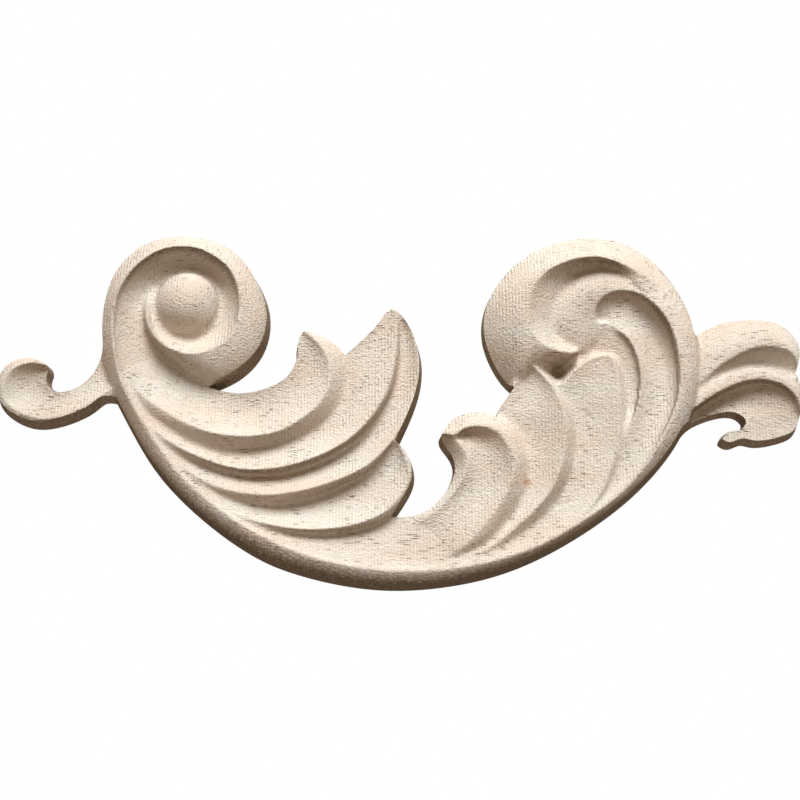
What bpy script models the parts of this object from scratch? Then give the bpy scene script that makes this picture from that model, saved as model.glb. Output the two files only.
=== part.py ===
"""A carved wood applique: a crescent scroll with a ball volute, two fans of leaves and a curled tail.

It is one piece of wood with a flat back. The back lies in the plane y = 0, the carving faces -Y and
Z is up. The carving is lofted strip by strip, and everything is then trimmed to the outline.
"""
import math

import bmesh
import bpy
import numpy as np
from mathutils import Matrix

# Driving sizes in metres
WIDTH = 0.200  # from the left scroll's tip to the tail's tip
WALL_DRAFT = math.radians(5)  # the side walls widen towards the back
EDGE_HEIGHT = 0.006  # where the walls stand on the drawn outline
GROUND = 0.0030  # thickness of wood under the deepest cut
FRONT = 0.020  # clear of the highest carving
BELOW = 0.003  # how far the strips reach behind the back before they are cut
STAGGER = 0.0002  # between one strip's hidden back and the next one's
CREASE = math.radians(40)
WOOD_COLOUR = (0.80, 0.69, 0.56)
WOOD_ROUGHNESS = 0.75

# The drawing has x to the right and y down. It is a view from a little below, so a point is carried
# along its line of sight to its height. The carving is DRAWN_WIDTH units across.
DRAWN_WIDTH = 813
UNIT = WIDTH / DRAWN_WIDTH
VIEW_TILT = math.radians(13)
VIEW_DISTANCE = 2400 * UNIT
VIEW_MIDDLE = (400, 400)
VIEW_HEIGHT = 0.009  # height above the back at which a unit has its true size
ORIGIN = (400, 555)  # a point on the belly

OUTLINE_STEP = 7  # drawing units between the points of the trimmed edge

# The ball volute's middle, in drawing units, and its sizes
BALL_CENTRE = (188, 306)
BALL_RADIUS = 0.0083
BALL_HEIGHT = 0.0050  # of its middle
DISH_RADIUS = 0.0131
DISH_HEIGHT = 0.0058

# How finely the strips are made: sections along a strip, and steps across each of its fields
SECTIONS_ELSE = 30
STEPS_ELSE = (3, 1)
SECTIONS = {"scroll": 112, "right_roll": 36, "floor": 10, "left_scroll": 26, "tail_hollow": 28}
STEPS = {"scroll": (3, 4), "right_roll": (3, 3), "hook": (2, 3, 2), "leaf_g": (1, 3, 1),
         "floor": (3,), "tail_hollow": (3,)}


def curve_through(points, count):
    """A natural cubic spline through the points, at count even steps of its length."""
    points = np.asarray(points, float)
    gaps = np.sqrt(np.linalg.norm(np.diff(points, axis=0), axis=1))
    knots = np.concatenate([[0], np.cumsum(gaps)])
    system = np.eye(len(points))
    change = np.zeros_like(points)
    for i in range(1, len(points) - 1):
        system[i, i - 1:i + 2] = gaps[i - 1], 2 * (gaps[i - 1] + gaps[i]), gaps[i]
        change[i] = 6 * ((points[i + 1] - points[i]) / gaps[i] - (points[i] - points[i - 1]) / gaps[i - 1])
    bend = np.linalg.solve(system, change)
    fine = np.linspace(0, knots[-1], 12 * count)
    k = np.clip(np.searchsorted(knots, fine, side="right") - 1, 0, len(points) - 2)
    gap = gaps[k][:, None]
    after = (knots[k + 1] - fine)[:, None]
    before = (fine - knots[k])[:, None]
    line = (bend[k] * after ** 3 + bend[k + 1] * before ** 3) / (6 * gap)
    line += (points[k] / gap - bend[k] * gap / 6) * after
    line += (points[k + 1] / gap - bend[k + 1] * gap / 6) * before
    return evenly(line, count)


def evenly(line, count):
    """The same line at count even steps of its length."""
    length = np.concatenate([[0], np.cumsum(np.linalg.norm(np.diff(line, axis=0), axis=1))])
    wanted = np.linspace(0, length[-1], count)
    return np.stack([np.interp(wanted, length, column) for column in line.T], axis=1)


def smoothly(values, count):
    """Values given at even steps, as count steps of a smooth curve."""
    values = np.atleast_1d(np.asarray(values, float))
    if len(values) == 1:
        return np.full(count, values[0])
    steps = curve_through(np.column_stack([np.arange(len(values)), values]), 40 * len(values))
    return np.interp(np.linspace(0, len(values) - 1, count), steps[:, 0], steps[:, 1])


def rail(points, heights, count):
    """A line of the drawing, with heights in millimetres at even steps along it."""
    return np.column_stack([curve_through(points, count), smoothly(heights, count)])


def beside(crest, line, reach):
    """For each point of the crest, the point of the line that lies square across from it.

    The match never goes back along the line, and gets no further from the crest's own share of its
    length than the reach. It is evened out over about a twentieth of the crest.
    """
    apart = np.linalg.norm(crest[:, None, :2] - line[None, :, :2], axis=2)
    share = np.abs(np.linspace(0, 1, len(crest))[:, None] - np.linspace(0, 1, len(line))[None])
    apart[share > reach] = np.inf
    found = np.maximum.accumulate(np.argmin(apart, axis=1)).astype(float)
    half = round(len(crest) / 45)
    window = np.ones(2 * half + 1) / (2 * half + 1)
    found = np.convolve(np.pad(found, half, mode="edge"), window, mode="valid")
    found[0], found[-1] = 0, len(line) - 1
    return np.stack([np.interp(found, np.arange(len(line)), column) for column in line.T], axis=1)


def surface(name, sections, steps):
    """Sections across a strip, each a row of points from its first rail to its last.

    Between two rails a row sags by the field's hollow, in millimetres, or swells where that is below
    zero. The deepest point lies halfway, or nearer the first rail where the lean is under 1.
    """
    rails, hollows, reach, lean = STRIPS[name]
    lines = [rail(points, heights, sections) for points, heights in rails]
    if reach:
        wide = [rail(points, heights, 8 * sections) for points, heights in rails]
        lines = [lines[i] if i == 1 else beside(lines[1], wide[i], reach) for i in range(len(rails))]
    rows = [lines[0]]
    for a, b, hollow, step in zip(lines, lines[1:], hollows, steps):
        deep = smoothly(hollow, sections)
        for t in np.linspace(0, 1, step + 1)[1:]:
            row = a * (1 - t) + b * t
            bow = t ** lean
            row[:, 2] -= deep * 4 * bow * (1 - bow)
            rows.append(row)
    return np.stack(rows, axis=1)


def placed(points):
    """Drawn points with heights in millimetres, carried along their lines of sight, in metres."""
    points = np.asarray(points, float)
    lean, rise = math.cos(VIEW_TILT), math.sin(VIEW_TILT)
    middle = (ORIGIN[1] - VIEW_MIDDLE[1]) * UNIT / lean
    eye = np.array([0, -VIEW_HEIGHT - VIEW_DISTANCE * lean, middle - VIEW_DISTANCE * rise])
    right = (points[..., 0] - VIEW_MIDDLE[0]) * UNIT / VIEW_DISTANCE
    up = (VIEW_MIDDLE[1] - points[..., 1]) * UNIT / VIEW_DISTANCE
    sight = np.stack([right, lean - up * rise, rise + up * lean], axis=-1)
    far = (-points[..., 2] / 1000 - eye[1]) / sight[..., 1]
    return eye + sight * far[..., None]


STRIPS = {}


def strip(name, rails, hollows, reach=0, lean=1):
    """Keeps a strip: its rails with their heights, and the hollows of the fields between them.

    With a reach, the outer rails are matched to the middle one by nearness.
    """
    STRIPS[name] = (rails, hollows, reach, lean)


OUTLINE = [
    # the ball volute's outer edge
    [(103, 345), (103, 319), (115, 276), (139, 250), (170, 239), (222, 246), (248, 268), (264, 298),
     (267, 325), (258, 352), (236, 374), (208, 387)],
    # bay above the first leaf
    [(208, 387), (243, 394), (279, 384), (291, 373), (297, 358), (298, 344), (303, 334)],
    # the first leaf's shoulder
    [(303, 334), (314, 334), (337, 347), (345, 356)],
    # the second leaf's free edge
    [(345, 356), (377, 326), (385, 315), (391, 311)],
    # the third leaf's edge
    [(391, 311), (401, 316), (418, 350), (416, 394), (396, 442)],
    # the fourth leaf's edge
    [(396, 442), (406, 453), (412, 469), (410, 486), (391, 517)],
    # gap between the leaves and the hook
    [(391, 517), (422, 513), (448, 489), (454, 461), (442, 442), (441, 436)],
    # the hook's shoulder
    [(441, 436), (456, 418), (484, 413), (496, 418)],
    # the fifth leaf's free edge
    [(496, 418), (503, 404), (514, 388)],
    # the right volute
    [(514, 388), (503, 377), (485, 338), (493, 292), (535, 252), (590, 239), (640, 253), (680, 298),
     (694, 338)],
    # the tail's first curl
    [(694, 338), (723, 324), (768, 322), (786, 330), (797, 344), (799, 358), (795, 374)],
    # the tail's second curl
    [(795, 374), (801, 393), (796, 427), (784, 436), (755, 441), (742, 439), (730, 443), (722, 440)],
    # cove under the tail
    [(722, 440), (728, 432), (740, 430), (746, 422), (740, 414), (725, 411), (692, 422), (681, 432)],
    # the long belly
    [(681, 432), (672, 447), (630, 494), (530, 558), (450, 581), (370, 584), (290, 567), (250, 549),
     (210, 521), (175, 489), (148, 455), (116, 397)],
    # the left scroll's lower side
    [(116, 397), (103, 397), (89, 407), (49, 422), (22, 419), (-1, 399), (4, 370), (29, 359),
     (47.5, 366), (48.5, 372)],
    # the left scroll's hollow
    [(48.5, 372), (46.5, 381.5), (52.5, 389.5), (62.5, 392), (88, 379), (102, 354), (103, 345)],
]

# The scroll starts at the ball volute's inner end, goes once round the ball, down the left side, along
# the belly, up the right side and round into the dome. Its lines are its outer edge, crest and foot.
strip("scroll", [
    ([(153, 279), (146, 290), (142.5, 320), (159, 353), (200, 382), (222, 387), (244, 378), (262, 356),
      (271, 325), (267, 296), (250, 264), (223, 242), (190, 235), (160, 238), (130, 254), (108, 284),
      (99, 318), (100, 350), (116, 402), (148, 459), (175, 493), (210, 525), (250, 553), (290, 571),
      (370, 588), (450, 586), (530, 562), (565, 544), (630, 498), (676, 448), (688, 427), (699, 375),
      (690, 315), (662, 272), (646, 265), (630, 266), (613, 265), (578, 274), (553, 297), (547, 312),
      (547, 327.5), (564, 351), (575, 356)],
     [5, 6.5, 6, 5, 4.5, 5, 6, 7, 6.5, 5.5, 5, 5, 5, 5, 5, 5, 5, 5, 5, 6, 7.5, 8.8, 9, 8.2, 6.8, 6, 4.2]),
    ([(158, 281), (151, 291), (147.5, 316), (161, 341.5), (189, 353), (218, 345), (237, 321),
      (232, 274), (206, 252), (190, 247), (158, 251), (120, 288), (113, 335), (117, 365), (126, 392),
      (169, 461), (198, 492), (247, 528), (330, 562), (450, 569), (530, 549), (562, 533), (625, 488),
      (662, 437), (678, 397), (678, 354), (664, 316), (635, 292.5), (606, 295), (595, 314), (599, 327),
      (599, 338), (592, 348), (579, 355.5)],
     [5.5, 11, 12.5, 13, 13, 13, 13, 12.5, 11.5, 10, 9.3, 9, 9, 9, 9, 9, 9, 9, 9, 9.2, 9.5, 10.5, 12,
      12.8, 12.8, 12, 9, 4.5]),
    ([(163, 285), (157, 295), (155, 309), (161, 324), (174, 335.5), (192, 341), (210, 335), (221, 320),
      (219, 286), (192, 270), (161, 276), (146, 298), (147.5, 333), (165, 373), (185, 400), (213, 440),
      (275, 492), (345, 510), (405, 505), (430, 500), (455, 500), (490, 510), (530, 515), (590, 496),
      (608, 478), (636, 408), (638, 362), (627, 338), (616, 329), (606, 321), (601, 322), (603, 330),
      (603, 340), (596, 351), (583, 358)],
     [5, 7.5, 7.5, 7, 6.5, 6.5, 6.6, 6.3, 5.7, 5.8, 6, 5.5, 5.2, 5, 5, 5.2, 5.8, 6.2, 6.4, 6.5, 6.8,
      7.5, 9, 10, 10, 6, 4]),
], [
    [-0.5, -0.8, -1.4, -2, -2, -1.2, -0.8, -0.6, -0.6, -0.6, -0.8, -0.9, -0.9, -0.9, -0.9, -1, -1, -1,
     -1, -1, -0.9, -0.9, -1, -1.4, -1.3, -1.4, -2.4, -1.2],
    [0.4, 0.8, 1, 1.2, 1.4, 1.4, 1.4, 1.5, 1.4, 0.9, 0.6, 0.7, 0.8, 0.8, 0.8, 0.8, 0.8, 0.8, 0.8, 0.9,
     1.2, 2.4, 4, 4.4, 2, 0.5, 0],
], reach=0.1, lean=0.65)

# The first leaf comes out of the scroll's inner wall, runs under the volute and turns up to its tip.
strip("leaf_a", [
    ([(150, 292), (149, 328), (191, 373), (208, 381), (226, 388), (243, 390.5), (277, 381),
      (293.5, 358), (295, 345), (299, 331)],
     [6, 6.3, 6.5, 6.5, 6.5, 7, 8, 8.5, 9, 9.5]),
    ([(130, 300), (124, 330), (125, 360), (134, 384), (150, 401), (198, 428), (243, 436), (278, 431),
      (303, 417), (320, 402), (329, 383), (329, 362), (320, 345), (304, 331)],
     [7, 8.2, 8.8, 9.8, 10.3, 10.5, 10.5, 10.5, 10.5, 10]),
    ([(126, 310), (121, 345), (130, 390), (142, 406), (192, 441), (243, 452), (303, 437), (329, 420),
      (342, 400), (345, 357), (328, 337), (307, 328)],
     [4, 5, 8, 8, 6.5, 5.5, 5.5, 6, 6.5, 7]),
], [[0.8, 0.8, 1, 1.4, 1.8, 1.8, 1.6, 1.6, 1.4, 0.3], [-0.3]])

# The second leaf, the longest, ends in the tall point of the left fan.
strip("leaf_b", [
    ([(130, 395), (194, 436), (216, 444), (243, 447), (303, 431), (326, 414), (337, 395), (340, 375),
      (343, 354), (361, 338), (375, 323.5), (383, 312), (390, 306)],
     [8, 8, 6.5, 6, 6, 6, 6.5, 7, 7.5, 8]),
    ([(131, 402), (142, 418), (174, 444), (226, 466), (256, 469.5), (286, 466), (320, 455), (346, 441),
      (365, 424), (381, 402), (391, 376), (396.5, 325), (392, 306)],
     [9, 9, 9.5, 9.5, 10, 10, 10, 9.5, 9, 8.5]),
    ([(129, 409), (155, 438), (203, 466), (234, 475), (268, 476), (303, 469), (364, 436), (396, 384),
      (400, 331), (394, 306)],
     [8, 7.5, 6, 5, 5, 5, 5, 5.5, 6, 7]),
], [[0.2, 0.4, 0.5, 0.5, 0.6, 0.8, 1, 1, 0.8, 0.4], [-0.4]])

# The third leaf lies along the second and shares its point.
strip("leaf_c", [
    ([(150, 425), (175, 447), (234, 470), (268, 471), (303, 464), (361, 432), (380, 410), (392, 384),
      (397, 331), (391, 306)],
     [8, 7.5, 6.5, 6, 6, 6, 6, 6, 6.5, 8]),
    ([(160, 450), (190, 472), (226, 489), (286, 493), (346, 476), (372, 461), (405, 419), (418, 368),
      (416, 346), (408, 324), (393, 306)],
     [8.5, 8.5, 9, 9.5, 9.5, 9.5, 9, 8.5, 8.5, 8.5]),
    ([(158, 455), (188, 478), (222, 497), (254, 506), (286, 505), (320, 496), (352, 483), (378, 468),
      (408, 422), (423, 368), (412, 321), (396, 303)],
     [7.5, 7, 6, 5, 5, 5, 5.5, 6, 6, 6]),
], [[0.2, 0.4, 0.6, 0.8, 1, 1, 1, 1, 1, 0.3], [-0.4]])

# The fourth leaf is short and round, just above the belly.
strip("leaf_d", [
    ([(185, 472), (220, 489), (254, 498), (286, 497), (352, 476), (375, 461), (394, 438)],
     [5, 5.5, 5.6, 5.6, 5.6, 6, 6.5, 8]),
    ([(190, 488), (222, 507), (274, 525.5), (338, 527.5), (388, 509), (407, 483), (409.5, 469),
      (396, 438)],
     [8, 8, 8.5, 9, 9, 9, 9, 8.5, 8.5]),
    ([(188, 492), (252, 526), (338, 534), (391, 518), (405, 503), (413, 486), (415, 469), (409, 450),
      (398, 436)],
     [7.5, 7, 6, 5.5, 5.5, 5.5, 6, 6, 6]),
], [[0.3, 0.6, 1, 1.4, 1.6, 1.6, 1.4, 0.5], [-0.3]])

# The hook: its hollow on the left, its raised leaf, and the bank that falls to the next leaf.
strip("hook", [
    ([(385, 506), (420, 508), (445, 487), (450.5, 462), (436, 438)],
     [3.5, 4.3, 5, 5, 5, 5, 5.5, 6]),
    ([(385, 535), (429, 516), (465, 473), (464, 450), (449, 436), (436, 436.5)],
     [3.5, 5.2, 7, 7.8, 8.5, 9, 9, 8.5]),
    ([(410, 566), (448, 556), (482, 527), (511, 480), (510, 451), (503, 438), (491, 429), (467, 428),
      (457, 434), (448, 434.5), (436, 435)],
     [5, 7.5, 9, 9.5, 10, 10.5, 10.5, 10, 9.5]),
    ([(410, 570), (448, 562), (488, 544), (506, 527), (526, 492), (529, 473), (528, 452), (513, 424),
      (485, 409), (454, 414), (436, 433)],
     [7, 7, 6.5, 6, 5.5, 5.5, 6, 6, 5.5, 5.5]),
], [[-0.2], [0.2, 0.5, 1, 1.8, 2.2, 2, 1], [-0.3, -0.4, -0.8, -1, -1, -0.6]])

# The fifth leaf, with its tip beside the right volute.
strip("leaf_f", [
    ([(450, 560), (480, 545), (515, 510), (525, 470), (522, 450), (510, 430), (495, 414), (500, 402),
      (520, 375), (530, 367)],
     [5.5, 6, 6.2, 6, 6, 6, 6, 6.5, 7, 8]),
    ([(456, 562), (491, 546), (515, 527), (547, 495), (563, 458), (565, 417), (552, 385), (533, 366)],
     [6.5, 7.8, 8.5, 9, 9.5, 10, 10, 10, 9.5, 9]),
    ([(458, 566), (495, 552), (541, 520), (557, 502), (568, 484), (575, 464), (575, 415), (557, 379),
      (536, 363)],
     [7, 7, 6.5, 6, 5.5, 5.5, 5.5, 5.5, 5, 4.5]),
], [[0.2, 0.4, 0.6, 0.8, 1, 1.2, 1.4, 1.6, 1.4, 0.6], [-0.3]])

# The sixth leaf stands on a low bank, under the dome.
strip("leaf_g", [
    ([(505, 552), (530, 528), (557, 488), (567, 470), (566, 425), (560, 405), (556, 388), (581, 355),
      (600, 348)],
     [4.5, 5, 5, 5, 5, 5, 5, 4, 3, 3]),
    ([(526, 550), (545, 532), (570, 490), (577, 450), (568, 402), (562, 386), (588, 360.5),
      (603, 355.5)],
     [5, 5.8, 6.2, 6.4, 6.5, 6.5, 7, 8, 8.5, 8.5]),
    ([(540, 548), (596, 500), (608, 475), (616, 451), (620, 394), (614, 361), (608, 355.5)],
     [5.5, 7.8, 8.6, 9, 9, 9, 9, 9, 9, 9]),
    ([(546, 550), (582, 524), (603, 500), (623, 455), (628, 415), (625, 374), (619, 358), (612, 351)],
     [5, 6.5, 6.5, 6.5, 6.5, 6.5, 6.5, 6, 5.5, 5]),
], [[0], [0.3, 0.5, 0.7, 0.9, 1, 1.1, 1.2, 1.2, 0.8, 0.3], [-0.3]])

# The floor between the dome, the sixth leaf and the inside of the crescent.
strip("floor", [
    ([(545, 345), (548, 370), (556, 385), (575, 405), (595, 430), (608, 455)],
     [3, 2.5, 2.5, 3.5, 5.5, 5.5]),
    ([(604, 322), (630, 338), (641, 364), (641, 395), (630, 435)],
     [8.3, 8.6, 8.2, 7.4, 6.6, 5.5]),
], [[0]])

# The roll of the right volute, which goes round the dome and ends in a point below it.
strip("right_roll", [
    ([(690, 322), (680, 296), (663, 268), (641, 249), (590, 235), (532, 249), (507, 268), (490, 291),
      (481, 315), (481, 340), (489, 362), (516, 391), (530, 380), (560, 366), (572, 362), (579, 354)],
     [5, 5.5, 5.5, 5, 4.5, 4.5, 4.5, 4.5, 4.5, 5, 6]),
    ([(683, 330), (655, 284), (610, 259.5), (589, 257), (554, 267), (533, 290), (529, 318), (541, 342),
      (565, 352), (577, 352)],
     [9.5, 10.3, 12, 13.2, 13.5, 13.3, 13, 12.7, 12.3, 11.5, 10]),
    ([(675, 338), (663.5, 315), (649.5, 299), (637, 282), (617, 272.5), (582, 280), (554, 313),
      (557, 336), (578, 349)],
     [9, 10.6, 12.1, 12.6, 9.4, 7.5, 7.5, 8, 8, 7.5, 7]),
], [
    [-0.4, -0.6, -1, -1.4, -1.8, -2, -2.2, -2.2, -1.6, -1, -0.4],
    [0, 0, 0, 0.8, 1, 0.8, 0.4, 0.2, 0, 0],
])

# The tail's upper curl.
strip("tail_upper", [
    ([(680, 352), (691, 334), (705, 327), (722, 321), (769, 319), (788, 327), (800, 342), (803, 358),
      (800, 375)],
     [6.5, 6.5, 6.5, 6, 6, 6, 6]),
    ([(684, 402), (706, 378), (735, 356.5), (763, 346.5), (788, 351), (796, 359), (799, 374)],
     [9, 9, 9.5, 9.5, 9.5, 9, 8.5]),
    ([(684, 412), (702, 397), (743, 377), (769, 375), (800, 387)],
     [8.5, 7, 5, 4, 4, 4, 5]),
], [[-0.8, -1, -1.2, -1.2, -1.2, -0.8], [0.3, 0.8, 1.2, 1.2, 0.8, 0.3]])

# The rib between the tail's two curls.
strip("tail_lower", [
    ([(680, 402), (702, 384), (740, 367.5), (769, 366), (797, 376), (805, 388), (808, 405)],
     [7, 5.5, 4.5, 4, 4, 4.5, 5]),
    ([(683, 406), (704, 387), (740, 370.5), (754, 368), (793, 380), (805, 405)],
     [8.5, 8.5, 8.5, 8.5, 8.5, 8.5, 8]),
    ([(683, 418), (706, 401), (740, 383.5), (769, 381), (792, 393), (801, 414)],
     [8.5, 9, 9, 9, 9, 9, 8.5]),
], [[0], [-0.3]])

# The tail's lower curl, a hollow with a hooked end.
strip("tail_hollow", [
    ([(675, 420), (719, 387), (754, 375), (770, 376), (796, 389), (808, 414), (803, 431), (787, 441),
      (755, 447), (742, 446), (729, 449), (717, 444)],
     [8, 8.6, 8.8, 8.8, 8.4, 8, 7.5, 7, 7, 7, 7]),
    ([(672, 444), (692, 427), (724, 417), (738.5, 422), (735, 425.5), (724, 426.5), (715, 434)],
     [6.5, 6, 5.5, 5.5, 6, 6.5, 6.5, 6.5, 6.5, 6.5]),
], [[0.5, 1.2, 1.8, 2, 2, 1.6, 1, 0.6, 0.2, 0]])

# The small scroll on the left, a hollow with a raised rim below.
strip("left_scroll", [
    ([(128, 388), (117, 395), (105, 400), (91, 410), (49, 425), (7, 415), (-5, 383), (14, 359),
      (43, 357.5), (55, 363)],
     [6, 6.5, 7, 7, 7, 7, 7, 7, 7]),
    ([(126, 380), (115, 388), (104, 393), (88, 404), (62, 416), (37, 418), (12, 408), (4, 398),
      (8, 374), (30, 363), (53.5, 368)],
     [6.5, 7, 7.5, 8, 8, 8, 8.5, 8.5, 8]),
    ([(114, 325), (100, 346), (94, 364.5), (86, 376.5), (63, 389.5), (50.5, 381), (51, 373)],
     [7, 6.5, 6, 5.5, 5.5, 5.5, 6, 6.5, 7]),
], [[0], [0.2, 0.6, 1, 1.4, 1.8, 1.8, 1.2, 0.5]], reach=0.5)


def clear_scene():
    for obj in list(bpy.data.objects):
        bpy.data.objects.remove(obj, do_unlink=True)


def linked(name, bm, collection=None):
    """A new object from the bmesh, with its faces turned outwards. In a collection it is only a helper."""
    bmesh.ops.recalc_face_normals(bm, faces=bm.faces)
    if bm.calc_volume(signed=True) < 0:
        bmesh.ops.reverse_faces(bm, faces=bm.faces)
    mesh = bpy.data.meshes.new(name)
    bm.to_mesh(mesh)
    bm.free()
    obj = bpy.data.objects.new(name, mesh)
    (collection or bpy.context.scene.collection).objects.link(obj)
    if collection:
        obj.hide_render = True
        obj.display_type = "WIRE"
    return obj


def loop_of(bm, points):
    verts = [bm.verts.new(point) for point in points]
    return [bm.edges.new(pair) for pair in zip(verts, verts[1:] + verts[:1])]


def loft(rings):
    """A closed solid through rings of points, one bridge after another, with both ends filled."""
    bm = bmesh.new()
    loops = [loop_of(bm, ring) for ring in rings]
    for near, far in zip(loops, loops[1:]):
        bmesh.ops.bridge_loops(bm, edges=near + far)
    for end in (loops[0], loops[-1]):
        bmesh.ops.contextual_create(bm, geom=end)
    return bm


def strip_solid(name, depth):
    """A strip's surface with wood down to a little behind the back."""
    steps = STEPS.get(name, STEPS_ELSE)
    rows = placed(surface(name, SECTIONS.get(name, SECTIONS_ELSE), steps))
    feet = rows[:, np.cumsum([0, *steps])[::-1]].copy()
    feet[..., 1] = depth
    return loft(np.concatenate([rows, feet], axis=1))


def outline_points():
    """The drawn outline, with a point about every OUTLINE_STEP along it."""
    pieces = []
    for segment in OUTLINE:
        length = np.linalg.norm(np.diff(np.array(segment, float), axis=0), axis=1).sum()
        pieces.append(curve_through(segment, max(4, round(length / OUTLINE_STEP)))[:-1])
    return np.concatenate(pieces)


def moved_out(plan, distance):
    """The closed plan moved square to itself.

    Points that come nearer to the plan than the distance lie in a fold, so a straight line replaces them.
    """
    ahead = np.roll(plan, -1, axis=0) - np.roll(plan, 1, axis=0)
    outward = np.column_stack([-ahead[:, 2], np.zeros(len(ahead)), ahead[:, 0]])
    moved = plan + outward / np.linalg.norm(outward, axis=1)[:, None] * distance
    shares = np.linspace(0, 1, 8, endpoint=False)[:, None, None]
    wall = (plan * (1 - shares) + np.roll(plan, -1, axis=0) * shares).reshape(-1, 3)
    gap = np.linalg.norm(moved[:, None] - wall[None], axis=2).min(axis=1)
    sound = np.flatnonzero(gap > 0.97 * abs(distance))
    at = np.arange(len(plan))
    return np.stack([np.interp(at, sound, column, period=len(plan)) for column in moved[sound].T], axis=1)


def outline_prism():
    """The outline drawn out from the back to clear of the carving, narrowing as it comes forward."""
    drawn = outline_points()
    plan = placed(np.column_stack([drawn, np.full(len(drawn), EDGE_HEIGHT * 1000)]))
    rings = []
    for height in (0, FRONT):
        ring = moved_out(plan, (EDGE_HEIGHT - height) * math.tan(WALL_DRAFT))
        ring[:, 1] = -height
        rings.append(ring)
    return loft(rings)


def ball():
    bm = bmesh.new()
    centre = Matrix.Translation(placed((*BALL_CENTRE, BALL_HEIGHT * 1000)))
    bmesh.ops.create_uvsphere(bm, u_segments=24, v_segments=12, radius=BALL_RADIUS, matrix=centre)
    return bm


def dish():
    """The round floor under the ball, with wood down to behind the back."""
    bm = bmesh.new()
    centre = placed((*BALL_CENTRE, BALL_HEIGHT * 1000))
    centre[1] = (BELOW - DISH_HEIGHT) / 2
    turned = Matrix.Translation(centre) @ Matrix.Rotation(math.pi / 2, 4, "X")
    bmesh.ops.create_cone(bm, cap_ends=True, segments=24, radius1=DISH_RADIUS, radius2=DISH_RADIUS,
                          depth=DISH_HEIGHT + BELOW, matrix=turned)
    return bm


def plate():
    """Wood under everything, as thick as the ground and larger than the outline."""
    bm = bmesh.new()
    bmesh.ops.create_cube(bm, size=1)
    low = (-0.6 * WIDTH, -GROUND, -0.1 * WIDTH)
    high = (0.6 * WIDTH, 2 * BELOW, 0.5 * WIDTH)
    for vert in bm.verts:
        vert.co = [low[i] if vert.co[i] < 0 else high[i] for i in range(3)]
    return bm


def boolean(target, operation):
    """A Boolean without its operand. The strips' lines run so close together that the exact solver
    leaves fins between them, and this one doesn't.
    """
    modifier = target.modifiers.new(operation.lower(), "BOOLEAN")
    modifier.operation = operation
    modifier.solver = "MANIFOLD"
    return modifier


def bare_wood():
    material = bpy.data.materials.new("bare_wood")
    material.use_nodes = True
    skin = material.node_tree.nodes["Principled BSDF"]
    skin.inputs["Base Color"].default_value = (*WOOD_COLOUR, 1)
    skin.inputs["Roughness"].default_value = WOOD_ROUGHNESS
    skin.inputs["Metallic"].default_value = 0
    return material


def settle(obj):
    """Applies the modifiers. The carving is smooth between edges that bend by more than CREASE."""
    graph = bpy.context.evaluated_depsgraph_get()
    mesh = bpy.data.meshes.new_from_object(obj.evaluated_get(graph))
    obj.modifiers.clear()
    obj.data = mesh
    mesh.shade_smooth()
    mesh.set_sharp_from_angle(angle=CREASE)
    mesh.materials.clear()
    mesh.materials.append(bare_wood())


clear_scene()
helpers = bpy.data.collections.new("strips")
bpy.context.scene.collection.children.link(helpers)
for order, name in enumerate(STRIPS):
    linked(name, strip_solid(name, BELOW + STAGGER * order), helpers)
linked("ball", ball(), helpers)
linked("dish", dish(), helpers)

cutters = bpy.data.collections.new("cutters")
bpy.context.scene.collection.children.link(cutters)
trim = linked("trim", outline_prism(), cutters)

applique = linked("scroll_applique", plate())
union = boolean(applique, "UNION")
union.operand_type = "COLLECTION"
union.collection = helpers
boolean(applique, "INTERSECT").object = trim
settle(applique)
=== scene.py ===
"""A carved wood applique, dressed for its picture: its fine carving, bare wood, light and camera."""
import math

import bmesh
import bpy
import numpy as np
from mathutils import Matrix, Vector


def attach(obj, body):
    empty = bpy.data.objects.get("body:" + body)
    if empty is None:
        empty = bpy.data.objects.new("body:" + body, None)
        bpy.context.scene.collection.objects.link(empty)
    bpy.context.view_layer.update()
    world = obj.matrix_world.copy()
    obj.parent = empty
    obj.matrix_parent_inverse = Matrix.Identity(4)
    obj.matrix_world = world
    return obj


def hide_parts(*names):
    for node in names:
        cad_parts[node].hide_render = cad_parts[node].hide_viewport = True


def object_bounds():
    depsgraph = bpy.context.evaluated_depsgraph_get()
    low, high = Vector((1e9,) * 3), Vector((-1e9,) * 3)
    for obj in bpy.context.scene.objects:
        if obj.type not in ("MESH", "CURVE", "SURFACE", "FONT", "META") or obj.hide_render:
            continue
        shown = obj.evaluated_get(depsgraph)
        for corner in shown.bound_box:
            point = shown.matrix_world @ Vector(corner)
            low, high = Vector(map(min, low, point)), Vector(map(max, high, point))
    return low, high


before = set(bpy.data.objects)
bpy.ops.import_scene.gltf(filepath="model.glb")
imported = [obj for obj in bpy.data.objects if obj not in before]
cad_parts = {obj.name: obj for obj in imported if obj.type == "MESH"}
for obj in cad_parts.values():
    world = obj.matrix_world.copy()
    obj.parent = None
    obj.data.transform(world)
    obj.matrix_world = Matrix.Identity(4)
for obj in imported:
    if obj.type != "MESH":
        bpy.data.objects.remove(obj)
cad_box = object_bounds()

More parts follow.
